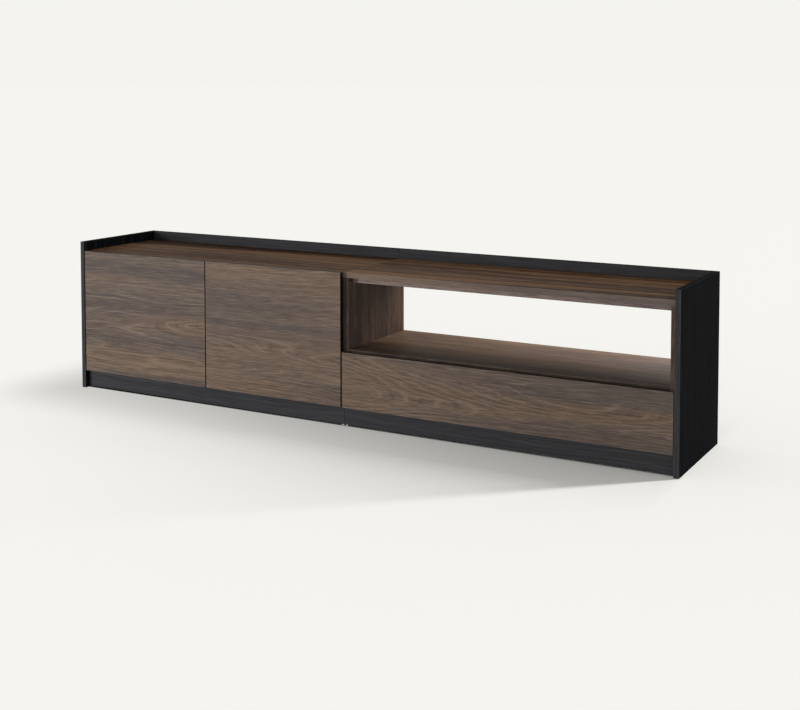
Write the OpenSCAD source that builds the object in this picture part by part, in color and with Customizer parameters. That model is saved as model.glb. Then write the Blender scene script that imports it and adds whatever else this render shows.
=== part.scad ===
// Low TV bench in two modules that stand side by side. The left module is a cupboard with two
// doors on concealed hinges. The right module is an open niche over one wide drawer on runners.
// A shell of black boards wraps the modules: side panels, a raised rim at the back and a plinth.
// Origin: middle of the footprint, on the floor. The front faces -Y, +X is right, +Z is up.

/* [Overall] */
// Length over both side panels
length = 2000; // [1900:10:2400]
// Depth of the side panels
depth = 360; // [350:5:450]
// Height from the floor to the top of the rim
height = 480; // [470:5:560]
// Thickness of the shell and carcass boards
board_t = 15; // [15:1:16]
// Thickness of the top boards and of the niche rails
top_t = 16; // [15:1:22]
// Height of the rim above the top boards
rim_rise = 30; // [20:1:40]
// Height of each rim board
rim_h = 60; // [50:5:80]
// Width of the seam at mid length in the rim and the plinth
seam = 1; // [0.5:0.5:2]

/* [Base] */
// Height of the base boards above the floor
base_z = 60; // [50:1:90]
// Height of the glides under the plinth
glide_h = 4; // [3:1:8]
// Radius of the glides
glide_r = 5; // [4:0.5:6]
// Thickness of the backs
back_t = 3; // [3:1:5]

/* [Fronts] */
// Gap between the left-hand door and the side panel beside it
side_gap = 4; // [4:0.5:5]
// Gap between the drawer front and the side panel beside it
drawer_gap = 1.5; // [1.5:0.5:4]
// Gap between the two doors
door_gap = 4; // [2:0.5:4]
// Gap between the right-hand door and the drawer front
middle_gap = 5; // [4:0.5:6]
// Clearance between the back of a front and the carcass
bump_gap = 2; // [1.5:0.5:3]
// How far the fronts hang below the base boards
front_drop = 2; // [0:1:6]
// Height of the drawer front
drawer_front_h = 161; // [150:1:200]
// Width of the bevels that form the finger groove over the drawer front
groove_bevel = 12; // [8:1:12]
// Width of the flat that a groove bevel leaves on its edge
groove_lip = 3; // [2:0.5:3]

/* [Inside] */
// Height of the niche shelf's top face
niche_shelf_z = 226; // [226:1:260]
// Height of the cupboard shelves' top faces
cupboard_shelf_z = 262; // [240:1:290]
// Distance from the carcass front to the front rail of the niche
rail_setback = 24; // [10:1:40]
// Width of each niche rail, front to back
rail_w = 70; // [50:5:100]

/* [Drawer box] */
// Thickness of the drawer box boards
box_t = 12; // [12:1:16]
// Height of the drawer box
box_h = 110; // [90:5:110]
// Height of the drawer box's underside
box_z = 85; // [82:1:90]
// Length of the drawer box and of its runners
box_len = 300; // [250:10:300]
// Thickness of the drawer bottom
bottom_t = 4; // [3:1:5]
// Height of a runner's outer member
runner_h = 45; // [40:1:46]
// Width of a whole runner
runner_w = 13; // [13:0.5:14]

/* [Hinges] */
// Distance from a door's top or bottom edge to the middle of the nearest hinge
hinge_inset = 80; // [60:5:100]
// Outer radius of a hinge cup
cup_r = 17.5; // [17:0.5:17.5]
// Distance from a door's outer edge to the middle of a hinge cup
cup_inset = 20.5; // [20:0.5:21]
// Radial clearance of a pin in its eye
pin_clearance = 0.05; // [0.02:0.01:0.1]

/* [Hidden] */
$fn = 48;

// Colours
black_ash = [0.10, 0.10, 0.11];
walnut = [0.36, 0.28, 0.23];
walnut_dark = [0.27, 0.20, 0.16];
hardboard = [0.30, 0.25, 0.21];
steel = [0.70, 0.71, 0.73];
zinc = [0.55, 0.56, 0.58];
beech = [0.80, 0.66, 0.48];
plastic_grey = [0.62, 0.62, 0.62];
plastic_pale = [0.85, 0.84, 0.80];

// Planes of the body, front to back
front_y = -depth / 2;
carcass_front = front_y + board_t + bump_gap;
carcass_back = depth / 2 - board_t;

// Planes of the body, left to right
shell_x = length / 2 - board_t;
lining_x = shell_x - board_t;

// Planes of the body, bottom to top
top_z = height - rim_rise;
side_top = top_z - top_t;
side_bottom = base_z + board_t;
front_bottom = base_z - front_drop;

// Braces between the plinth boards, and the glides: beside the seam they stand under the plinth
// boards, and elsewhere under the ends of the braces. Each place is a distance from mid length
// and one from the outer face of the plinth board.
brace_x = [20, shell_x / 2, shell_x - 25];
glide_places = [[7, board_t / 2], [brace_x[1], board_t + 12], [brace_x[2], board_t + 12]];

// Fronts
door_w = (shell_x - side_gap - door_gap - middle_gap / 2) / 2;
door_left_edge = -shell_x + side_gap;
door_right_edge = -middle_gap / 2;
partition_x = door_left_edge + door_w + door_gap / 2;

// Drawer box
box_left = board_t + runner_w;
box_right = lining_x - runner_w;
box_front = front_y + board_t;
bottom_z = box_z + 8;
groove_d = 6;
runner_z = box_z + box_h / 2;
sheet_t = 1.2;
ball_gap = 0.7;
flange_step = 2 * (sheet_t + ball_gap);

// Uprights that carry a top board: middle in X, and the face (-1 or +1) that holds the cam locks
uprights = [
    [-shell_x + board_t / 2, -1],
    [partition_x, 1],
    [-board_t / 2, 1],
    [board_t / 2, -1],
    [shell_x - board_t / 2, 1]
];
cam_y = 110;
dowel_y = 60;
cam_inset = 34;
cam_r = 7.5;
cam_depth = 12;
cam_recess = 0.5;
cam_bolt_r = 3;
dowel_r = 4;
dowel_len = 30;
dowel_in_board = 10;
drill_clearance = 0.1;

// Loose shelves on pins
pin_r = 2.5;
pin_len = 16;
pin_depth = 7;
pin_y = [-100, 120];
shelf_gap = 1;
shelf_setback = 25;

// Bolts through the two boards at mid length, above and below the runner
module_bolt_y = [-120, 120];
module_bolt_z = [98, 182];
module_bolt_r = 3.5;
module_bolt_head_r = 8;
module_bolt_head_t = 3;

// Concealed hinge, seen from above. The origin is the door's outer front corner, x runs inward
// along the door and y runs back. The link swings outward by a quarter of the door's angle.
arm_pivot = [44, 44];
cup_pivot = arm_pivot / 5;
link_bend = cup_pivot + [12, -1.5];
link_w = 3.8;
link_h = 6;
cup_pin_r = 1.2;
arm_pin_r = 1.5;
cup_eye_r = 2.5;
arm_eye_r = 3.4;
cup_depth = 11.5;
cup_wall = 1.1;
wing_t = 1.2;
cup_screw_z = 24;
cheek_t = 2;
cheek_gap = 0.3;
arm_elbow_y = 64;
arm_end_y = 112;
arm_h = 12;
hinge_z = [front_bottom + hinge_inset, top_z - hinge_inset];

// Push latches on the partition, near the top of the free edge of each door
latch_z = 410;
latch_size = [12, 50, 14];
latch_front = carcass_front + 3;
plunger_r = 3.5;
plunger_len = 40;
tip_gap = 0.3;

// A board between two opposite corners
module board(low, high) {
    translate(low)
        cube(high - low);
}

// A profile drawn in Y and Z, drawn out along X
module extrude_x(x_low, x_high) {
    translate([x_low, 0, 0])
        rotate([90, 0, 90])
            linear_extrude(height = x_high - x_low)
                children();
}

// A round bar along X
module bar_x(r, x_low, x_high) {
    translate([x_low, 0, 0])
        rotate([0, 90, 0])
            cylinder(r = r, h = x_high - x_low);
}

// A round bar along Y
module bar_y(r, y_low, y_high) {
    translate([0, y_low, 0])
        rotate([-90, 0, 0])
            cylinder(r = r, h = y_high - y_low);
}

// A flat strip of width w between two points, with round ends
module strip(p, q, w) {
    along = (q - p) / norm(q - p);
    across = [-along[1], along[0]] * w / 2;
    polygon([p + across, p - across, q - across, q + across]);
    for (end = [p, q])
        translate(end)
            circle(d = w);
}

// Hardware inside the joints of the carcass. extra widens a piece into the hole that takes it.
module dowel_set(extra = 0) {
    for (upright = uprights, y = [-dowel_y, dowel_y]) {
        translate([upright[0], y, side_top + dowel_in_board - dowel_len])
            cylinder(r = dowel_r + extra, h = dowel_len);
        translate([upright[0], y, side_bottom - dowel_in_board])
            cylinder(r = dowel_r + extra, h = dowel_len);
    }
}

module cam_set(extra = 0) {
    recess = extra > 0 ? 0 : cam_recess;
    cam_z = [side_bottom + cam_inset, side_top - cam_inset];
    for (upright = uprights, y = [-cam_y, cam_y], z = cam_z)
        translate([upright[0], y, z])
            mirror([upright[1] < 0 ? 1 : 0, 0, 0])
                bar_x(cam_r + extra, board_t / 2 - cam_depth, board_t / 2 - recess);
}

module cam_bolt_set(extra = 0) {
    bolt_len = cam_inset - cam_r + dowel_in_board;
    for (upright = uprights, y = [-cam_y, cam_y]) {
        translate([upright[0], y, side_top + dowel_in_board - bolt_len])
            cylinder(r = cam_bolt_r + extra, h = bolt_len);
        translate([upright[0], y, side_bottom - dowel_in_board])
            cylinder(r = cam_bolt_r + extra, h = bolt_len);
    }
}

module shelf_pin_set(extra = 0) {
    pin_z = cupboard_shelf_z - board_t - pin_r;
    walls = [
        [-lining_x, 1],
        [partition_x - board_t / 2, -1],
        [partition_x + board_t / 2, 1],
        [-board_t, -1]
    ];
    for (wall = walls, y = pin_y)
        translate([wall[0], y, pin_z])
            mirror([wall[1] < 0 ? 1 : 0, 0, 0])
                bar_x(pin_r + extra, -pin_depth, pin_len - pin_depth);
}

module module_bolt_set(extra = 0) {
    for (y = module_bolt_y, z = module_bolt_z)
        translate([0, y, z]) {
            bar_x(module_bolt_r + extra, -board_t, board_t);
            bar_x(module_bolt_head_r, -board_t - module_bolt_head_t, -board_t);
            bar_x(module_bolt_head_r, board_t, board_t + module_bolt_head_t);
        }
}

// A carcass board, drilled for the hardware that meets it
module drilled() {
    difference() {
        children();
        dowel_set(drill_clearance);
        cam_set(drill_clearance);
        cam_bolt_set(drill_clearance);
        shelf_pin_set(drill_clearance);
        module_bolt_set(drill_clearance);
    }
}

// Black shell
module side_panel(x_low) {
    color(black_ash)
        board([x_low, front_y, 0], [x_low + board_t, depth / 2, height]);
}

module rim_board(x_low, x_high) {
    color(black_ash)
        board([x_low, carcass_back, height - rim_h], [x_high, depth / 2, height]);
}

module plinth_board(x_low, x_high, y_low) {
    color(black_ash)
        board([x_low, y_low, glide_h], [x_high, y_low + board_t, base_z]);
}

module plinth_braces() {
    color(black_ash)
        for (side = [-1, 1], x = brace_x)
            board(
                [side * x - board_t / 2, carcass_front + board_t, glide_h],
                [side * x + board_t / 2, carcass_back - board_t, base_z]
            );
}

module glides() {
    color(plastic_pale)
        for (place = glide_places, side = [-1, 1])
            for (y = [carcass_front + place[1], carcass_back - place[1]])
                translate([side * place[0], y, 0])
                    cylinder(r = glide_r, h = glide_h);
}

// Carcass boards
module top_board(x_low) {
    color(walnut_dark)
        drilled()
            board([x_low, carcass_front, side_top], [x_low + shell_x, carcass_back, top_z]);
}

module base_board(x_low) {
    color(walnut_dark)
        drilled()
            board([x_low, carcass_front, base_z], [x_low + shell_x, carcass_back, side_bottom]);
}

module upright_board(x_middle) {
    color(walnut)
        drilled()
            board(
                [x_middle - board_t / 2, carcass_front, side_bottom],
                [x_middle + board_t / 2, carcass_back, side_top]
            );
}

module cupboard_shelf(x_low, x_high) {
    color(walnut)
        board(
            [x_low + shelf_gap, carcass_front + shelf_setback, cupboard_shelf_z - board_t],
            [x_high - shelf_gap, carcass_back - shelf_gap, cupboard_shelf_z]
        );
}

module shelf_pins() {
    color(steel)
        shelf_pin_set();
}

module niche_shelf() {
    shelf_bottom = niche_shelf_z - board_t;
    color(walnut)
        extrude_x(board_t, lining_x)
            polygon([
                [carcass_front, niche_shelf_z],
                [carcass_front, niche_shelf_z - groove_lip],
                [carcass_front + board_t - groove_lip, shelf_bottom],
                [carcass_back, shelf_bottom],
                [carcass_back, niche_shelf_z]
            ]);
}

module niche_rail(y_low) {
    color(walnut)
        board([board_t, y_low, side_top - top_t], [lining_x, y_low + rail_w, side_top]);
}

module back(x_low, z_high) {
    color(hardboard)
        board([x_low, carcass_back, base_z], [x_low + shell_x, carcass_back + back_t, z_high]);
}

// Joint hardware
module wood_dowels() {
    color(beech)
        dowel_set();
}

module cam_locks() {
    color(zinc)
        cam_set();
}

module cam_bolts() {
    color(zinc)
        cam_bolt_set();
}

module module_bolts() {
    color(steel)
        module_bolt_set();
}

// Puts its children at both hinges of a door, in the hinge's own frame
module at_hinges(edge_x, inward) {
    for (z = hinge_z)
        translate([edge_x, front_y, z])
            mirror([inward < 0 ? 1 : 0, 0, 0])
                children();
}

module cup_screw(extra = 0) {
    for (side = [-1, 1])
        translate([cup_inset, 0, side * cup_screw_z]) {
            bar_y(1.5 + extra, board_t - 10, board_t + wing_t);
            bar_y(3 + extra, board_t + wing_t - 0.8, board_t + wing_t + 0.4);
        }
}

module door(x_low, edge_x, inward) {
    color(walnut)
        difference() {
            board([x_low, front_y, front_bottom], [x_low + door_w, front_y + board_t, top_z]);
            at_hinges(edge_x, inward) {
                translate([cup_inset, 0, 0])
                    bar_y(cup_r + drill_clearance, board_t - cup_depth, board_t + 1);
                cup_screw(drill_clearance);
            }
        }
}

// A cup with two wings on the back of the door and the pin that the link turns on
module hinge_cup() {
    difference() {
        union() {
            translate([cup_inset, 0, 0])
                bar_y(cup_r, board_t - cup_depth, board_t);
            board(
                [cup_inset - 6, board_t, -cup_screw_z - 6],
                [cup_inset + 6, board_t + wing_t, cup_screw_z + 6]
            );
        }
        translate([cup_inset, 0, 0])
            bar_y(cup_r - cup_wall, board_t - cup_depth + 1, board_t + wing_t + 1);
        cup_screw(drill_clearance);
    }
    pin_half = sqrt(pow(cup_r - cup_wall / 2, 2) - pow(cup_inset - cup_pivot[0], 2));
    translate([cup_pivot[0], cup_pivot[1], -pin_half])
        cylinder(r = cup_pin_r, h = 2 * pin_half);
}

module hinge_cups(edge_x, inward) {
    color(steel)
        at_hinges(edge_x, inward)
            hinge_cup();
}

module cup_screws(edge_x, inward) {
    color(zinc)
        at_hinges(edge_x, inward)
            cup_screw();
}

// The gooseneck link between the pin in the cup and the pin in the arm
module hinge_link() {
    translate([0, 0, -link_h / 2])
        linear_extrude(height = link_h)
            difference() {
                union() {
                    strip(cup_pivot, link_bend, link_w);
                    strip(link_bend, arm_pivot, link_w);
                    translate(cup_pivot)
                        circle(r = cup_eye_r);
                    translate(arm_pivot)
                        circle(r = arm_eye_r);
                }
                translate(cup_pivot)
                    circle(r = cup_pin_r + pin_clearance);
                translate(arm_pivot)
                    circle(r = arm_pin_r + pin_clearance);
            }
}

module hinge_links(edge_x, inward) {
    color(steel)
        at_hinges(edge_x, inward)
            hinge_link();
}

// The arm: a plate on the carcass side, a body on it and two cheeks that hold the arm's pin
module hinge_arm(wall_x) {
    plate_t = 2.5;
    plate_front = arm_elbow_y + 4;
    elbow = [wall_x + arm_h - 4, arm_elbow_y];
    cheek_z = link_h / 2 + cheek_gap;
    arm_half_h = cheek_z + cheek_t;
    board([wall_x, plate_front, -18], [wall_x + plate_t, arm_end_y - 14, 18]);
    board([wall_x + plate_t, arm_elbow_y - 2, -arm_half_h], [wall_x + arm_h, arm_end_y, arm_half_h]);
    for (z_low = [-arm_half_h, cheek_z])
        translate([0, 0, z_low])
            linear_extrude(height = cheek_t)
                strip(arm_pivot, elbow, 8);
    translate([arm_pivot[0], arm_pivot[1], -arm_half_h])
        cylinder(r = arm_pin_r, h = 2 * arm_half_h);
}

module hinge_arms(edge_x, inward, wall_x) {
    color(steel)
        at_hinges(edge_x, inward)
            hinge_arm(wall_x);
}

// Push latch: a housing on the partition and the sprung plunger that it guides
module latch_housing(side) {
    face_x = partition_x + side * board_t / 2;
    middle_x = face_x + side * latch_size[0] / 2;
    color(plastic_grey)
        difference() {
            translate([middle_x - latch_size[0] / 2, latch_front, latch_z - latch_size[2] / 2])
                cube(latch_size);
            translate([middle_x, 0, latch_z])
                bar_y(plunger_r + pin_clearance, latch_front - 1, latch_front + latch_size[1] - 4);
        }
}

module latch_plunger(side) {
    middle_x = partition_x + side * (board_t + latch_size[0]) / 2;
    tip_y = front_y + board_t + tip_gap;
    color(plastic_pale)
        translate([middle_x, 0, latch_z])
            bar_y(plunger_r, tip_y, tip_y + plunger_len);
}

// Drawer
module drawer_front() {
    front_top = front_bottom + drawer_front_h;
    bevel_y = front_y + groove_lip;
    color(walnut)
        extrude_x(middle_gap / 2, shell_x - drawer_gap)
            polygon([
                [front_y, front_bottom],
                [front_y, front_top],
                [bevel_y, front_top],
                [front_y + board_t, front_top - groove_bevel],
                [front_y + board_t, front_bottom]
            ]);
}

module drawer_bottom_panel() {
    board(
        [box_left + box_t - groove_d, box_front + box_t - groove_d, bottom_z],
        [box_right - box_t + groove_d, box_front + box_len - box_t + groove_d, bottom_z + bottom_t]
    );
}

module drawer_board(low, high) {
    color(walnut_dark)
        difference() {
            board(low, high);
            drawer_bottom_panel();
        }
}

module drawer_cross_board(y_low) {
    drawer_board([box_left + box_t, y_low, box_z], [box_right - box_t, y_low + box_t, box_z + box_h]);
}

module drawer_side(x_low) {
    drawer_board([x_low, box_front, box_z], [x_low + box_t, box_front + box_len, box_z + box_h]);
}

module drawer_bottom() {
    color(hardboard)
        drawer_bottom_panel();
}

// One runner member: a C of sheet steel, its web between web_u and web_u + sheet_t, its flanges
// from flange_low to flange_high, and its height over the flanges
module runner_member(web_u, flange_low, flange_high, member_h) {
    for (side = [0, 1])
        translate([side * (board_t + lining_x), carcass_front + 3, runner_z])
            mirror([side, 0, 0])
                translate([board_t, 0, 0]) {
                    board([web_u, 0, -member_h / 2], [web_u + sheet_t, box_len, member_h / 2]);
                    for (z_low = [-member_h / 2, member_h / 2 - sheet_t])
                        board([flange_low, 0, z_low], [flange_high, box_len, z_low + sheet_t]);
                }
}

module runner_outer_members() {
    color(zinc)
        runner_member(0, 0, 8, runner_h);
}

module runner_middle_members() {
    color(steel)
        runner_member(4.5, 2, 9.5, runner_h - flange_step);
}

module runner_inner_members() {
    color(zinc)
        runner_member(runner_w - sheet_t, 6.6, runner_w, runner_h - 2 * flange_step);
}

side_panel(-length / 2);  // side_panel_left
side_panel(shell_x);  // side_panel_right
rim_board(-shell_x, -seam / 2);  // rim_board_left
rim_board(seam / 2, shell_x);  // rim_board_right
plinth_board(-shell_x, -seam / 2, carcass_front);  // plinth_front_left
plinth_board(seam / 2, shell_x, carcass_front);  // plinth_front_right
plinth_board(-shell_x, -seam / 2, carcass_back - board_t);  // plinth_back_left
plinth_board(seam / 2, shell_x, carcass_back - board_t);  // plinth_back_right
plinth_braces();
glides();
top_board(-shell_x);  // top_board_left
top_board(0);  // top_board_right
base_board(-shell_x);  // base_board_left
base_board(0);  // base_board_right
upright_board(-shell_x + board_t / 2);  // carcass_side_left
upright_board(-board_t / 2);  // cupboard_side_right
upright_board(board_t / 2);  // niche_side_left
upright_board(shell_x - board_t / 2);  // carcass_side_right
upright_board(partition_x);  // cupboard_partition
cupboard_shelf(-lining_x, partition_x - board_t / 2);  // cupboard_shelf_left
cupboard_shelf(partition_x + board_t / 2, -board_t);  // cupboard_shelf_right
shelf_pins();
niche_shelf();
niche_rail(carcass_front + rail_setback);  // niche_rail_front
niche_rail(carcass_back - rail_w);  // niche_rail_back
back(-shell_x, height - rim_h);  // back_cupboards
back(0, niche_shelf_z);  // back_drawer
wood_dowels();
cam_locks();
cam_bolts();
module_bolts();
door(door_left_edge, door_left_edge, 1);  // door_left
door(door_right_edge - door_w, door_right_edge, -1);  // door_right
hinge_cups(door_left_edge, 1);  // hinge_cups_left
hinge_cups(door_right_edge, -1);  // hinge_cups_right
cup_screws(door_left_edge, 1);  // cup_screws_left
cup_screws(door_right_edge, -1);  // cup_screws_right
hinge_links(door_left_edge, 1);  // hinge_links_left
hinge_links(door_right_edge, -1);  // hinge_links_right
hinge_arms(door_left_edge, 1, board_t - side_gap);  // hinge_arms_left
hinge_arms(door_right_edge, -1, board_t - middle_gap / 2);  // hinge_arms_right
latch_housing(-1);  // latch_housing_left
latch_housing(1);  // latch_housing_right
latch_plunger(-1);  // latch_plunger_left
latch_plunger(1);  // latch_plunger_right
drawer_front();
drawer_cross_board(box_front);  // drawer_box_front
drawer_cross_board(box_front + box_len - box_t);  // drawer_box_back
drawer_side(box_left);  // drawer_side_left
drawer_side(box_right - box_t);  // drawer_side_right
drawer_bottom();
runner_outer_members();
runner_middle_members();
runner_inner_members();
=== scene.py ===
"""Looks, light and camera for a low television bench with two doors, an open niche and a drawer."""

import math
import random

import bpy
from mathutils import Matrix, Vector


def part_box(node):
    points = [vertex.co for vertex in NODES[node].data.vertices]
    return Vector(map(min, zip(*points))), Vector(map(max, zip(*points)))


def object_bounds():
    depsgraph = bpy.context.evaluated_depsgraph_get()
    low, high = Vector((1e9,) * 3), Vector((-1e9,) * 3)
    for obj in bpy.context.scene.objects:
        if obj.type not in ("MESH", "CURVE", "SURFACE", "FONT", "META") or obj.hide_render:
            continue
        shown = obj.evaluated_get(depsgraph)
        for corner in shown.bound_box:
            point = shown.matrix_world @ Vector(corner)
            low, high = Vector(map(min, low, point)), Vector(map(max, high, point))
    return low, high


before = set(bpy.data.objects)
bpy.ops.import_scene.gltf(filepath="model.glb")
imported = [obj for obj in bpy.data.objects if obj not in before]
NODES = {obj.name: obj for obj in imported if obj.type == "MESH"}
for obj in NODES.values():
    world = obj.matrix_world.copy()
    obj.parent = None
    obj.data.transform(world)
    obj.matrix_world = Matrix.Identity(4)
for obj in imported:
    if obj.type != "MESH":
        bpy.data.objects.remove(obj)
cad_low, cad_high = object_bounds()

SENSOR = 36.0  # the camera's sensor, in millimetres

# ---------------------------------------------------------------- camera
# Where the camera stands from the middle of the footprint, in metres
CAMERA_PLACE = Vector((1.9189, -3.2423, 0.992))
CAMERA_TURN = 29.0  # degrees to the left of straight ahead
CAMERA_DIP = 3.21  # degrees below level
LENS = 56.81  # focal length in millimetres
SHIFT = (-0.0101, -0.25)  # the picture is the lower part of a wider one
CLIP = (0.05, 2000.0)  # metres from the camera that it sees between

# ---------------------------------------------------------------- studio
PALE = (0.905, 0.896, 0.863)  # backdrop, linear
FLOOR_COLOUR = (0.85, 0.85, 0.84)
FLOOR_HALF = 600.0  # metres from the middle to each side of the floor
FLOOR_LEVEL = 1.010  # how bright the open floor is, as a share of PALE
FLOOR_LIT = 0.772  # the part of it that the lamps and the surround give at the right-hand end
SHADE_FADE = (-1.4, 0.9)  # from here, where the floor mostly glows, to here, where it is mostly lit; the glow is painted light that fades the shadows to the left
SHADE_LEAST = 0.03  # how lit it is to the left of there, as a share of how lit it is to the right
PAINTED_CONTACT_SHADE = (0.69, 0.37)  # glow beside the plinth as a share, and metres to where it is whole; the missing glow is a painted contact shadow
CONTACT_START = 0.003  # metres from the plinth at which the floor starts to glow
CONTACT_END = 0.03  # metres past the plinth's right-hand end at which the contact shade is gone
FLOOR_DROP = 0.0002  # metres from the glides down to the floor
DOME_RIM = 12.0  # degrees above the horizon up to which the surround is fully pale
DOME_TOP = 32.0  # degrees above which it is as dim as overhead
DOME_DIM = 0.30  # how bright it is overhead, as a share of the horizon


# ================================================================ shader tools
class Shader:
    """A material being built. Each method adds one node and returns its output."""

    def __init__(self, name):
        self.material = bpy.data.materials.new(name)
        self.material.use_nodes = True
        self.tree = self.material.node_tree
        self.surface = self.tree.nodes["Principled BSDF"]

    def join(self, value, socket):
        """Links an output to a socket, or sets the socket to a plain value."""
        if isinstance(value, bpy.types.NodeSocket):
            self.tree.links.new(value, socket)
        else:
            socket.default_value = value

    def node(self, kind, **settings):
        made = self.tree.nodes.new("ShaderNode" + kind)
        for key, value in settings.items():
            setattr(made, key, value)
        return made

    def math(self, operation, a, b=0.0):
        made = self.node("Math", operation=operation)
        self.join(a, made.inputs[0])
        self.join(b, made.inputs[1])
        return made.outputs[0]

    def vector(self, operation, a, b=(0.0, 0.0, 0.0)):
        made = self.node("VectorMath", operation=operation)
        self.join(a, made.inputs[0])
        self.join(b, made.inputs[1])
        return made.outputs[0]

    def split(self, vector):
        made = self.node("SeparateXYZ")
        self.join(vector, made.inputs[0])
        return made.outputs

    def combine(self, x, y, z):
        made = self.node("CombineXYZ")
        for value, socket in zip((x, y, z), made.inputs):
            self.join(value, socket)
        return made.outputs[0]

    def noise(self, vector, scale, detail=2.0, roughness=0.5):
        """Noise from 0 to 1 with a scale of its own along each axis, in cells a metre."""
        made = self.node("TexNoise")
        made.inputs["Scale"].default_value = 1.0
        made.inputs["Detail"].default_value = detail
        made.inputs["Roughness"].default_value = roughness
        self.join(self.vector("MULTIPLY", vector, scale), made.inputs["Vector"])
        return made.outputs["Fac"]

    def remap(self, value, low, high, to_low=0.0, to_high=1.0, smooth=False):
        made = self.node("MapRange", interpolation_type="SMOOTHSTEP" if smooth else "LINEAR")
        for given, socket in zip((value, low, high, to_low, to_high), made.inputs):
            self.join(given, socket)
        return made.outputs[0]

    def ramp(self, value, stops):
        """Colours at places from 0 to 1, as (place, (r, g, b)) in linear light."""
        made = self.node("ValToRGB")
        self.join(value, made.inputs[0])
        points = made.color_ramp.elements
        while len(points) < len(stops):
            points.new(0.5)
        for point, (place, colour) in zip(points, stops):
            point.position = place
            point.color = (*colour, 1.0)
        return made.outputs[0]

    def mix(self, share, a, b, blend="MIX"):
        made = self.node("Mix", data_type="RGBA", blend_type=blend)
        self.join(share, made.inputs[0])
        self.join(a, made.inputs[6])
        self.join(b, made.inputs[7])
        return made.outputs[2]

    def board(self, name):
        """A vector that each board carries as a property of its own."""
        return self.node("Attribute", attribute_type="OBJECT", attribute_name=name).outputs["Vector"]

    def place(self):
        return self.node("TexCoord").outputs["Object"]

    def painted_facing_mask(self):
        """1 on faces along the length, 0 on the others, and between them on a rounded arris.
        It picks between copies of a finish that paint light and shade by facing.
        """
        across = self.split(self.node("TexCoord").outputs["Normal"])[1]
        return self.remap(self.math("ABSOLUTE", across), 0.3, 0.9)

    def bump(self, height, depth, strength):
        made = self.node("Bump")
        made.inputs["Strength"].default_value = strength
        made.inputs["Distance"].default_value = depth
        self.join(height, made.inputs["Height"])
        return made.outputs["Normal"]

    def finish(self, colour, roughness, normal=None, **constants):
        """Feeds the surface. Constants go straight on its own sockets."""
        self.join(colour, self.surface.inputs["Base Color"])
        self.join(roughness, self.surface.inputs["Roughness"])
        if normal is not None:
            self.join(normal, self.surface.inputs["Normal"])
        for socket, value in constants.items():
            self.surface.inputs[socket.replace("_", " ")].default_value = value
        return self.material


# ================================================================ boards
AXES = {"X": 0, "Y": 1, "Z": 2}
RAMP_PLACES = (0.12, 0.5, 0.90)  # where the dark, middle and light shades lie along the tone
# How far each field swings the walnut's tone
TAN_SHARE = 0.27
STREAK_SHARE = 1.35
FLECK_SHARE = 2.1
RINGS = 40.0  # growth rings from the lowest to the highest point of the flame field
RING_SHAKE = 0.60  # rings by which the streaks shake them
LIGHT_LINE = 0.62  # how much a light line adds to the tone
DARK_LINE = 0.30  # how much a dark line takes from it
TINTS = ((0.0, (0.95, 1.0, 1.07)), (0.5, (1.0, 1.0, 1.0)), (1.0, (1.05, 1.0, 0.90)))  # cool to warm
PORE_SHADE = 0.22  # how much darker a pore is
RUBBED_SHINE = 0.28  # how much paler a rubbed arris is
EASE_WIDTH = 0.0006  # metres by which the boards' edges are eased
EASE_SEGMENTS = 2
EASE_ANGLE = 40.0  # degrees between two faces above which their edge is eased
WELD_REACH = 0.00001  # metres within which corners are joined


def board_space(s, axes):
    """Board coordinates in metres: along the grain, across it, and through the board."""
    parts = s.split(s.place())
    turned = s.combine(*(parts[AXES[a]] for a in axes))
    return s.vector("ADD", turned, s.board("grain_shift"))


def edge_distance(s):
    """Metres to the board's nearest arris: the middle one of its three distances to a face."""
    place = s.place()
    near = s.vector("MINIMUM", s.vector("SUBTRACT", place, s.board("low_corner")),
                    s.vector("SUBTRACT", s.board("high_corner"), place))
    x, y, z = s.split(near)
    lower = s.math("MINIMUM", x, y)
    upper = s.math("MAXIMUM", x, y)
    return s.math("MAXIMUM", lower, s.math("MINIMUM", upper, z))


def arris_wear(s, p, reach=0.0016):
    """How rubbed the surface is, 1 on the arris itself and 0 past reach, patchy along it."""
    patchy = s.noise(p, (24.0, 60.0, 60.0), 3.0)
    near = s.remap(edge_distance(s), 0.0, reach, 1.0, 0.0, smooth=True)
    return s.math("MULTIPLY", near, s.remap(patchy, 0.35, 0.65, 0.35, 1.0))


def wandering(s, p, wander=0.033, ripple=0.004):
    """Board coordinates with the grain drifting from side to side, as it does in a flat-cut veneer."""
    slow = s.math("SUBTRACT", s.noise(p, (1.7, 4.5, 4.5), 2.0), 0.5)
    quick = s.math("SUBTRACT", s.noise(p, (5.0, 22.0, 22.0), 2.0), 0.5)
    drift = s.math("ADD", s.math("MULTIPLY", slow, wander), s.math("MULTIPLY", quick, ripple))
    return s.vector("ADD", p, s.combine(0.0, drift, 0.0))


def grown(s, tone, field, share):
    """The tone with a field from 0 to 1 added to it, as a swing of that share about the middle."""
    return s.math("ADD", tone, s.math("MULTIPLY", s.math("SUBTRACT", field, 0.5), share))


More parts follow.
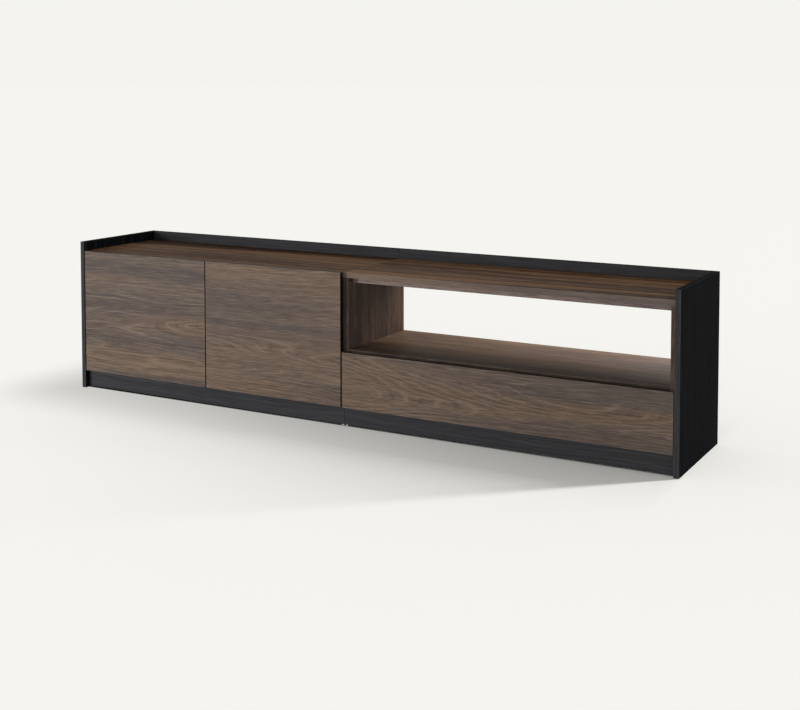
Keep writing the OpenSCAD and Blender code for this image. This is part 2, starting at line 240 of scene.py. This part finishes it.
def growth_rings(s, q, streaks, tan, figure):
    """How much of a light and of a dark growth line shows. The lines join points of equal height
    in the flame field, so they close into ovals and hooks. They fade in and out."""
    flame = s.noise(q, (0.55, 6.5, 6.5), 1.5, 0.4)
    ring = s.math("ADD", s.math("MULTIPLY", flame, RINGS), s.math("MULTIPLY", streaks, RING_SHAKE))
    ring = s.math("PINGPONG", ring, 0.5)
    shown = s.remap(s.noise(q, (3.0, 26.0, 26.0), 2.0), 0.38, 0.60, smooth=True)
    shown = s.math("MULTIPLY", shown, s.remap(tan, 0.0, 1.0, 0.30, 1.0))
    shown = s.math("MULTIPLY", shown, figure)
    light = s.math("MULTIPLY", s.remap(ring, 0.37, 0.5, smooth=True), shown)
    dark = s.math("MULTIPLY", s.remap(ring, 0.0, 0.12, 1.0, 0.0, smooth=True), shown)
    return light, dark


def shaded(s, tone, shades):
    """The dark, middle and light colours of a wood laid along its tone."""
    return s.ramp(tone, list(zip(RAMP_PLACES, shades)))


def walnut(name, axes, shades, front_shades=None, contrast=1.0, striped=0.60, figure=1.0, gloss=0.10):
    """Smoked walnut foil. Tan passages with flame figure lie between grey ones with plain straight
    grain, and streaks, flecks and pores run through both. Shades are its dark, middle and light
    colours; faces to the front may have others, lighter or darker, as painted light and shade."""
    s = Shader(name)
    p = board_space(s, axes)
    q = wandering(s, p)
    bands = s.noise(q, (0.5, 8.5, 8.5), 1.0, 0.5)
    stripes = s.noise(q, (0.8, 42.0, 42.0), 3.0, 0.55)
    streaks = s.noise(q, (3.6, 250.0, 250.0), 5.0, 0.68)
    flecks = s.noise(q, (16.0, 720.0, 720.0), 2.0, 0.6)
    fibres = s.noise(q, (30.0, 1300.0, 1300.0), 2.0, 0.6)
    pores = s.noise(q, (60.0, 1500.0, 1500.0), 1.0)
    tan = s.remap(bands, 0.40, 0.60, smooth=True)

    tone = 0.5
    fields = ((tan, TAN_SHARE), (stripes, striped), (streaks, STREAK_SHARE), (flecks, FLECK_SHARE))
    for field, share in fields:
        tone = grown(s, tone, field, share * contrast)
    light_lines, dark_lines = growth_rings(s, q, streaks, tan, figure)
    tone = s.math("ADD", tone, s.math("MULTIPLY", light_lines, LIGHT_LINE))
    tone = s.math("SUBTRACT", tone, s.math("MULTIPLY", dark_lines, DARK_LINE))
    colour = shaded(s, tone, shades)
    # Faces to the front get shades of their own: painted light and shade by facing
    if front_shades is not None:
        colour = s.mix(s.painted_facing_mask(), colour, shaded(s, tone, front_shades))

    # The grey passages are cooler and the tan ones warmer, unevenly
    warmth = s.math("ADD", s.math("MULTIPLY", tan, 0.5), s.noise(q, (1.8, 34.0, 34.0), 3.0, 0.6))
    tint = s.ramp(s.remap(warmth, 0.42, 1.08), TINTS)
    colour = s.mix(1.0, colour, tint, "MULTIPLY")
    shade = s.remap(fibres, 0.25, 0.75, 0.86, 1.12)
    pore = s.remap(pores, 0.60, 0.70, 0.0, 1.0, smooth=True)
    shade = s.math("SUBTRACT", shade, s.math("MULTIPLY", pore, PORE_SHADE))
    rubbed = arris_wear(s, p)
    shade = s.math("ADD", shade, s.math("MULTIPLY", rubbed, RUBBED_SHINE))
    colour = s.mix(1.0, colour, s.combine(shade, shade, shade), "MULTIPLY")

    rough = s.remap(streaks, 0.3, 0.7, 0.50, 0.60)
    rough = s.math("ADD", rough, s.math("MULTIPLY", pore, 0.12))
    rough = s.math("SUBTRACT", rough, s.math("MULTIPLY", rubbed, 0.08))
    height = s.math("SUBTRACT", s.math("MULTIPLY", fibres, 0.6), pore)
    normal = s.bump(height, 0.00006, 0.55)
    return s.finish(colour, rough, normal, Specular_IOR_Level=gloss)


def black_ash(name, axes, face, face_line, front, front_line):
    """Black ash foil: near black, with fine open grain that shows a little greyer."""
    s = Shader(name)
    p = board_space(s, axes)
    q = wandering(s, p, 0.03, 0.004)
    streaks = s.noise(q, (2.5, 190.0, 190.0), 4.0, 0.6)
    fibres = s.noise(q, (14.0, 1500.0, 1500.0), 2.0, 0.6)
    flame = s.noise(q, (1.1, 9.0, 9.0), 1.0, 0.4)
    ring = s.math("ADD", s.math("MULTIPLY", flame, 16.0), s.math("MULTIPLY", streaks, 0.7))
    ring = s.math("PINGPONG", ring, 0.5)
    grain = s.math("ADD", s.math("MULTIPLY", streaks, 0.6), s.math("MULTIPLY", fibres, 0.4))
    grain = s.math("ADD", grain, s.math("MULTIPLY", s.remap(ring, 0.34, 0.5, smooth=True), 0.03))

    # Faces along the length are painted greyer as lit, and the end panels' broad faces near black as
    # painted shade
    facing = s.painted_facing_mask()
    ground = s.mix(facing, (*face, 1.0), (*front, 1.0))
    line = s.mix(facing, (*face_line, 1.0), (*front_line, 1.0))
    colour = s.mix(s.remap(grain, 0.44, 0.68), ground, line)
    shade = s.remap(fibres, 0.25, 0.75, 0.82, 1.16)
    colour = s.mix(1.0, colour, s.combine(shade, shade, shade), "MULTIPLY")

    # Paler on the arrises: partly wear, partly a painted highlight on the front edges
    rubbed = arris_wear(s, p)
    colour = s.mix(s.math("MULTIPLY", rubbed, 0.35), colour, (0.075, 0.078, 0.084, 1.0))
    rough = s.remap(grain, 0.35, 0.7, 0.56, 0.68)
    height = s.math("ADD", s.math("MULTIPLY", streaks, 0.5), s.math("MULTIPLY", fibres, 0.8))
    normal = s.bump(height, 0.00009, 0.6)
    return s.finish(colour, rough, normal, Specular_IOR_Level=0.004)


def linen_board(name, axes):
    """Drawer-box board with a printed linen look: crossing threads of uneven thickness."""
    s = Shader(name)
    p = board_space(s, axes)
    warp = s.noise(p, (40.0, 1250.0, 1250.0), 2.0, 0.6)
    weft = s.noise(p, (1250.0, 40.0, 40.0), 2.0, 0.6)
    cloth = s.math("ADD", s.math("MULTIPLY", warp, 0.5), s.math("MULTIPLY", weft, 0.5))
    cloudy = s.noise(p, (5.0, 5.0, 5.0), 3.0)
    tone = s.math("ADD", s.math("MULTIPLY", cloth, 0.8), s.math("MULTIPLY", cloudy, 0.2))
    stops = [(0.3, (0.105, 0.098, 0.090)), (0.5, (0.165, 0.155, 0.143)), (0.72, (0.225, 0.212, 0.198))]
    colour = s.ramp(tone, stops)
    rubbed = arris_wear(s, p)
    colour = s.mix(s.math("MULTIPLY", rubbed, 0.5), colour, (0.29, 0.275, 0.255, 1.0))
    rough = s.remap(cloth, 0.3, 0.7, 0.52, 0.66)
    return s.finish(colour, rough, s.bump(cloth, 0.00006, 0.5), Specular_IOR_Level=0.35)


def hardboard(name, axes):
    """Thin brown back panel: pressed fibres with darker flecks under a satin print."""
    s = Shader(name)
    p = board_space(s, axes)
    flecks = s.noise(p, (260.0, 420.0, 420.0), 4.0, 0.65)
    fibres = s.noise(wandering(s, p), (5.0, 120.0, 120.0), 4.0, 0.6)
    tone = s.math("ADD", s.math("MULTIPLY", flecks, 0.5), s.math("MULTIPLY", fibres, 0.5))
    stops = [(0.32, (0.045, 0.030, 0.021)), (0.5, (0.085, 0.060, 0.043)), (0.7, (0.13, 0.095, 0.070))]
    colour = s.ramp(tone, stops)
    rough = s.remap(flecks, 0.3, 0.7, 0.55, 0.72)
    return s.finish(colour, rough, s.bump(flecks, 0.00008, 0.5), Specular_IOR_Level=0.3)


# ================================================================ fittings
def beech(name):
    """Turned dowels: pale wood with short brown flecks."""
    s = Shader(name)
    p = s.place()
    rays = s.noise(p, (160.0, 900.0, 900.0), 3.0, 0.6)
    slow = s.noise(p, (30.0, 90.0, 90.0), 2.0)
    tone = s.math("ADD", s.math("MULTIPLY", rays, 0.6), s.math("MULTIPLY", slow, 0.4))
    stops = [(0.3, (0.36, 0.21, 0.10)), (0.55, (0.55, 0.36, 0.19)), (0.75, (0.66, 0.47, 0.28))]
    rough = s.remap(rays, 0.3, 0.7, 0.55, 0.7)
    return s.finish(s.ramp(tone, stops), rough, s.bump(rays, 0.0001, 0.5), Specular_IOR_Level=0.3)


def plated(name, dull, bright, smooth_end, rough_end, brushed):
    """Plated metal with fine brush marks, cloudy patches and a few dull spots."""
    s = Shader(name)
    p = s.place()
    marks = s.noise(p, brushed, 3.0, 0.6)
    clouds = s.noise(p, (70.0, 70.0, 70.0), 3.0, 0.55)
    spots = s.remap(s.noise(p, (600.0, 600.0, 600.0), 2.0), 0.62, 0.74, smooth=True)
    tone = s.math("ADD", s.math("MULTIPLY", marks, 0.55), s.math("MULTIPLY", clouds, 0.45))
    colour = s.ramp(tone, [(0.3, dull), (0.7, bright)])
    colour = s.mix(s.math("MULTIPLY", spots, 0.35), colour, (*(c * 0.6 for c in dull), 1.0))
    rough = s.math("ADD", s.remap(tone, 0.3, 0.7, smooth_end, rough_end), s.math("MULTIPLY", spots, 0.12))
    return s.finish(colour, rough, s.bump(marks, 0.00003, 0.5), Metallic=1.0)


def moulded(name, dark, light, grain=900.0):
    """Moulded plastic with a spark-eroded grain and slightly polished high spots."""
    s = Shader(name)
    p = s.place()
    pits = s.noise(p, (grain, grain, grain), 3.0, 0.6)
    flow = s.noise(p, (60.0, 60.0, 140.0), 2.0)
    tone = s.math("ADD", s.math("MULTIPLY", pits, 0.6), s.math("MULTIPLY", flow, 0.4))
    colour = s.ramp(tone, [(0.3, dark), (0.7, light)])
    rough = s.remap(pits, 0.3, 0.7, 0.42, 0.6)
    return s.finish(colour, rough, s.bump(pits, 0.00005, 0.6), Specular_IOR_Level=0.45)


# ================================================================ giving each node its finish
def scaled(shades, share, red=1.0, blue=1.0):
    """Shades made brighter or darker by a share, and their red and blue by shares of their own."""
    return tuple((share * red * r, share * g, share * blue * b) for r, g, b in shades)


def softened(shades, share):
    """Shades drawn towards the middle one, for a quieter figure."""
    middle = shades[1]
    return tuple(tuple(m + share * (c - m) for c, m in zip(shade, middle)) for shade in shades)


WALNUT = ((0.053, 0.0390, 0.0328), (0.084, 0.0605, 0.0485), (0.137, 0.0990, 0.0755))
GAP_SHADE_WALNUT = scaled(WALNUT, 0.05, 1.5, 0.7)  # the fronts' own edges, in the gaps and the drawer's groove: painted shade, near black
INNER_SHADED_WALNUT = scaled(WALNUT, 0.85, 1.07, 1.04)  # faces inside the carcass, a little darker as painted shade
SHELF_SHADED_WALNUT = scaled(WALNUT, 0.63, 1.10, 0.92)  # the niche shelf, darker as painted shade and warmer as painted warm light from the back
POST_SHADED_WALNUT = scaled(WALNUT, 0.78)  # front edges of the uprights, darker as painted shade
LIP_SHADED_WALNUT = scaled(WALNUT, 0.75)  # front edge of the niche shelf, darker as painted shade
RAIL_LIT_WALNUT = scaled(WALNUT, 1.50, 0.92, 1.22)  # front of the niche rail, lighter as painted light
TOP_EDGE_LIT_WALNUT = softened(scaled(WALNUT, 1.33, 0.95, 1.06), 0.4)  # front edges of the tops, lighter as painted light, with a quieter figure
# The tops' broad faces: their own redder tone, kept darker in part as painted shade
TOP_TONE_AND_SHADE_WALNUT = ((0.034, 0.0180, 0.0105), (0.080, 0.0440, 0.0250), (0.165, 0.0960, 0.0560))
# Broad faces painted near black as shade, faces to the front greyer as painted light
BLACK_ASH = dict(
    face=(0.0016, 0.0018, 0.0023), face_line=(0.0110, 0.0116, 0.0138),
    front=(0.0272, 0.0272, 0.0297), front_line=(0.0455, 0.0455, 0.0492),
)

WALNUT_TOP = dict(
    shades=TOP_TONE_AND_SHADE_WALNUT, front_shades=TOP_EDGE_LIT_WALNUT, contrast=1.3, striped=2.2, figure=0.4, gloss=0.02,
)
WALNUT_CARCASS = dict(
    shades=INNER_SHADED_WALNUT, front_shades=POST_SHADED_WALNUT, contrast=1.3, striped=0.9, figure=0.5, gloss=0.02,
)
WALNUT_SHELF = dict(
    shades=SHELF_SHADED_WALNUT, front_shades=LIP_SHADED_WALNUT, contrast=1.3, striped=1.2, figure=0.5, gloss=0.02,
)
WALNUT_RAIL = dict(
    shades=INNER_SHADED_WALNUT, front_shades=RAIL_LIT_WALNUT, contrast=1.1, striped=0.6, figure=0.5, gloss=0.02,
)
NICKEL = dict(
    dull=(0.50, 0.49, 0.47), bright=(0.72, 0.71, 0.69),
    smooth_end=0.22, rough_end=0.36, brushed=(90.0, 90.0, 1600.0),
)
ZINC = dict(
    dull=(0.34, 0.345, 0.36), bright=(0.56, 0.57, 0.58),
    smooth_end=0.34, rough_end=0.50, brushed=(500.0, 500.0, 500.0),
)
LATCH_PLASTIC = dict(dark=(0.24, 0.24, 0.25), light=(0.36, 0.36, 0.37))
GLIDE_PLASTIC = dict(dark=(0.34, 0.33, 0.31), light=(0.46, 0.45, 0.43), grain=700.0)

# A board's finish goes by its node's name where that is here, and else by its slot
BOARDS = {
    "walnut_front": lambda name, axes: walnut(name, axes, GAP_SHADE_WALNUT, WALNUT),
    "walnut_top": lambda name, axes: walnut(name, axes, **WALNUT_TOP),
    "walnut_carcass": lambda name, axes: walnut(name, axes, **WALNUT_CARCASS),
    "niche_shelf": lambda name, axes: walnut(name, axes, **WALNUT_SHELF),
    "niche_rail_front": lambda name, axes: walnut(name, axes, **WALNUT_RAIL),
    "black_ash": lambda name, axes: black_ash(name, axes, **BLACK_ASH),
    "drawer_board": linen_board,
    "back_hardboard": hardboard,
}
FITTINGS = {
    "beech": beech,
    "nickel_steel": lambda name: plated(name, **NICKEL),
    "zinc": lambda name: plated(name, **ZINC),
    "latch_plastic": lambda name: moulded(name, **LATCH_PLASTIC),
    "glide_plastic": lambda name: moulded(name, **GLIDE_PLASTIC),
}
GRAIN_SEED = 11
GRAIN_SPREAD = 6.0  # metres of wood that the boards' patterns are cut from


def grain_axes(low, high):
    """The board's axes from its longest, which the grain follows, to its thickness."""
    size = high - low
    return "".join(sorted("XYZ", key=lambda a: -size[AXES[a]]))


def ease_edges(obj):
    """Joins the faces' shared corners and rounds every arris, so that edges catch the light."""
    weld = obj.modifiers.new("weld", "WELD")
    weld.merge_threshold = WELD_REACH
    bevel = obj.modifiers.new("eased edges", "BEVEL")
    bevel.width = EASE_WIDTH
    bevel.segments = EASE_SEGMENTS
    bevel.limit_method = "ANGLE"
    bevel.angle_limit = math.radians(EASE_ANGLE)
    bevel.use_clamp_overlap = True
    bevel.harden_normals = True


def dress_nodes():
    """Gives each CAD node the finish of its slot, and each board a stretch of grain of its own."""
    chance = random.Random(GRAIN_SEED)
    made = {}
    for name in sorted(NODES):
        obj = NODES[name]
        slot = obj.material_slots[0].material.name
        low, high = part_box(name)
        if slot in BOARDS:
            key = name if name in BOARDS else slot, grain_axes(low, high)
            if key not in made:
                made[key] = BOARDS[key[0]]("_".join(key), key[1])
            obj["low_corner"] = tuple(low)
            obj["high_corner"] = tuple(high)
            obj["grain_shift"] = tuple(chance.uniform(0.0, GRAIN_SPREAD) for _ in range(3))
            ease_edges(obj)
        else:
            key = slot
            if key not in made:
                made[key] = FITTINGS[slot](slot + "_finish")
        for place in obj.material_slots:
            place.material = made[key]


# ================================================================ studio
def distance_from_plinth(s, low, high):
    """Metres along the floor to the plinth's outline, 0 inside it."""
    centre = ((low.x + high.x) / 2, (low.y + high.y) / 2, 0.0)
    half = ((high.x - low.x) / 2, (high.y - low.y) / 2, 0.0)
    away = s.vector("ABSOLUTE", s.vector("SUBTRACT", s.place(), centre))
    away = s.vector("MAXIMUM", s.vector("SUBTRACT", away, half))
    length = s.node("VectorMath", operation="LENGTH")
    s.join(away, length.inputs[0])
    return length.outputs["Value"]


def floor_material():
    """A pale matt floor that partly glows, more so to the left, a painted light that makes shadows fade
    that way. Under the plinth it doesn't glow at all, and close to it only partly: a painted contact
    shadow."""
    s = Shader("studio_floor")
    low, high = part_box("plinth_front_left")[0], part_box("plinth_back_right")[1]
    along = s.split(s.place())[0]
    # Less lamp light and more glow to the left: painted light that fades the shadows that way
    lit = s.remap(along, *SHADE_FADE, SHADE_LEAST, 1.0, smooth=True)
    # Painted contact shadow: no glow under the plinth and less beside it
    beside, reach = PAINTED_CONTACT_SHADE
    away = distance_from_plinth(s, low, high)
    under = s.remap(away, 0.0, CONTACT_START, 1.0, 1.0 - beside)
    gone = s.remap(away, CONTACT_START, reach, 0.0, 1.0 - beside, smooth=True)
    shade = s.math("SUBTRACT", under, gone)
    shade = s.math("MULTIPLY", shade, s.remap(along, high.x, high.x + CONTACT_END, 1.0, 0.0))
    glow = s.math("SUBTRACT", FLOOR_LEVEL, s.math("MULTIPLY", lit, FLOOR_LIT))
    glow = s.math("MULTIPLY", glow, s.math("SUBTRACT", 1.0, shade))
    s.join(glow, s.surface.inputs["Emission Strength"])
    colour = s.mix(1.0, s.combine(lit, lit, lit), (*FLOOR_COLOUR, 1.0), "MULTIPLY")
    return s.finish(colour, 0.9, Specular_IOR_Level=0.0, Emission_Color=(*PALE, 1.0))


def add_floor():
    """A floor wide enough to reach the horizon from any side."""
    mesh = bpy.data.meshes.new("studio_floor")
    corners = [(x * FLOOR_HALF, y * FLOOR_HALF, 0.0) for x, y in ((-1, -1), (1, -1), (1, 1), (-1, 1))]
    mesh.from_pydata(corners, [], [(0, 1, 2, 3)])
    mesh.materials.append(floor_material())
    floor = bpy.data.objects.new("studio_floor", mesh)
    bpy.context.scene.collection.objects.link(floor)
    floor.location.z = cad_low.z - FLOOR_DROP
    return floor


def add_dome():
    """A surround that is pale round the horizon and dimmer overhead."""
    world = bpy.data.worlds.new("studio")
    world.use_nodes = True
    tree = world.node_tree
    background = tree.nodes["Background"]
    background.inputs["Color"].default_value = (*PALE, 1.0)
    direction = tree.nodes.new("ShaderNodeTexCoord").outputs["Generated"]
    split = tree.nodes.new("ShaderNodeSeparateXYZ")
    fall = tree.nodes.new("ShaderNodeMapRange")
    fall.interpolation_type = "SMOOTHSTEP"
    limits = math.sin(math.radians(DOME_RIM)), math.sin(math.radians(DOME_TOP)), 1.0, DOME_DIM
    for socket, value in zip(fall.inputs[1:5], limits):
        socket.default_value = value
    tree.links.new(direction, split.inputs[0])
    tree.links.new(split.outputs["Z"], fall.inputs[0])
    tree.links.new(fall.outputs[0], background.inputs["Strength"])
    bpy.context.scene.world = world


def add_sun(name, bearing, height, strength, softness, only):
    """Light that comes from a bearing, in degrees from +X towards +Y, and a height above the floor."""
    lamp = bpy.data.lights.new(name, "SUN")
    lamp.energy = strength
    lamp.color = tuple(c / PALE[0] for c in PALE)
    lamp.angle = math.radians(softness)
    obj = bpy.data.objects.new(name, lamp)
    bpy.context.scene.collection.objects.link(obj)
    b, h = math.radians(bearing), math.radians(height)
    towards = Vector((math.cos(b) * math.cos(h), math.sin(b) * math.cos(h), math.sin(h)))
    obj.rotation_mode = "QUATERNION"
    obj.rotation_quaternion = towards.to_track_quat("Z", "Y")
    obj.light_linking.receiver_collection = only


def add_softbox(name, place, target, width, height, power, only):
    """A rectangular light that faces a target and lights just the objects in a collection."""
    lamp = bpy.data.lights.new(name, "AREA")
    lamp.shape = "RECTANGLE"
    lamp.size, lamp.size_y = width, height
    lamp.energy = power
    obj = bpy.data.objects.new(name, lamp)
    bpy.context.scene.collection.objects.link(obj)
    obj.location = place
    obj.rotation_mode = "QUATERNION"
    obj.rotation_quaternion = (Vector(place) - Vector(target)).to_track_quat("Z", "Y")
    obj.visible_camera = False
    obj.light_linking.receiver_collection = only


def collect(name, objects):
    """A collection for lights to be linked to."""
    group = bpy.data.collections.new(name)
    for obj in objects:
        group.objects.link(obj)
    return group


# The broad light behind the right end, as bearings and heights across it
STRIPS = ((32.0, 14.0), (52.0, 20.0), (40.0, 26.0), (58.0, 33.0), (46.0, 41.0))
STRIP_STRENGTH = 0.37
STRIP_SOFTNESS = 14.0
# The tall narrow light in the same quarter that throws the floor's shadow
SLOT_BEARING = 42.0
SLOT_HEIGHTS = (14.0, 18.0, 22.5, 27.0, 32.0, 37.5, 43.5, 50.0, 57.0)
SLOT_SHARE = 1.478  # what its parts together give the open floor
SLOT_SOFTNESS = 5.0
KEY_PLACE = (-3.2, -4.2, 1.00)  # the broad light before the left end
KEY_HEIGHT = 0.25  # the height that it faces
KEY_SIZE = 1.5
KEY_POWER = 227.0
NICHE_LIGHT_PLACE = (0.92, 0.74, 1.02)  # a light over the back of the open niche
NICHE_LIGHT_SIZE = (1.0, 0.40)
NICHE_LIGHT_POWER = 42.0


def add_lights(floor):
    bench = collect("bench", NODES.values())
    ground = collect("ground", [floor])
    for i, (bearing, height) in enumerate(STRIPS):
        add_sun(f"strip_{i}", bearing, height, STRIP_STRENGTH, STRIP_SOFTNESS, bench)
    strength = SLOT_SHARE / sum(math.sin(math.radians(height)) for height in SLOT_HEIGHTS)
    for i, height in enumerate(SLOT_HEIGHTS):
        add_sun(f"slot_{i}", SLOT_BEARING, height, strength, SLOT_SOFTNESS, ground)
    add_softbox("key", KEY_PLACE, (0.0, cad_low.y, KEY_HEIGHT), KEY_SIZE, KEY_SIZE, KEY_POWER, bench)
    low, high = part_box("niche_shelf")
    niche = collect("niche", [NODES["niche_shelf"]])
    target = ((low.x + high.x) / 2, high.y, high.z)
    add_softbox("niche_light", NICHE_LIGHT_PLACE, target, *NICHE_LIGHT_SIZE, NICHE_LIGHT_POWER, niche)


def add_camera():
    lens = bpy.data.cameras.new("camera")
    lens.sensor_width = SENSOR
    lens.lens = LENS
    lens.shift_x, lens.shift_y = SHIFT
    lens.clip_start, lens.clip_end = CLIP
    camera = bpy.data.objects.new("camera", lens)
    bpy.context.scene.collection.objects.link(camera)
    middle = Vector(((cad_low.x + cad_high.x) / 2, (cad_low.y + cad_high.y) / 2, cad_low.z))
    camera.location = middle + CAMERA_PLACE
    camera.rotation_euler = (math.radians(90.0 - CAMERA_DIP), 0.0, math.radians(CAMERA_TURN))
    bpy.context.scene.camera = camera


add_camera()
dress_nodes()
add_dome()
add_lights(add_floor())
bpy.context.scene.view_settings.view_transform = "Standard"
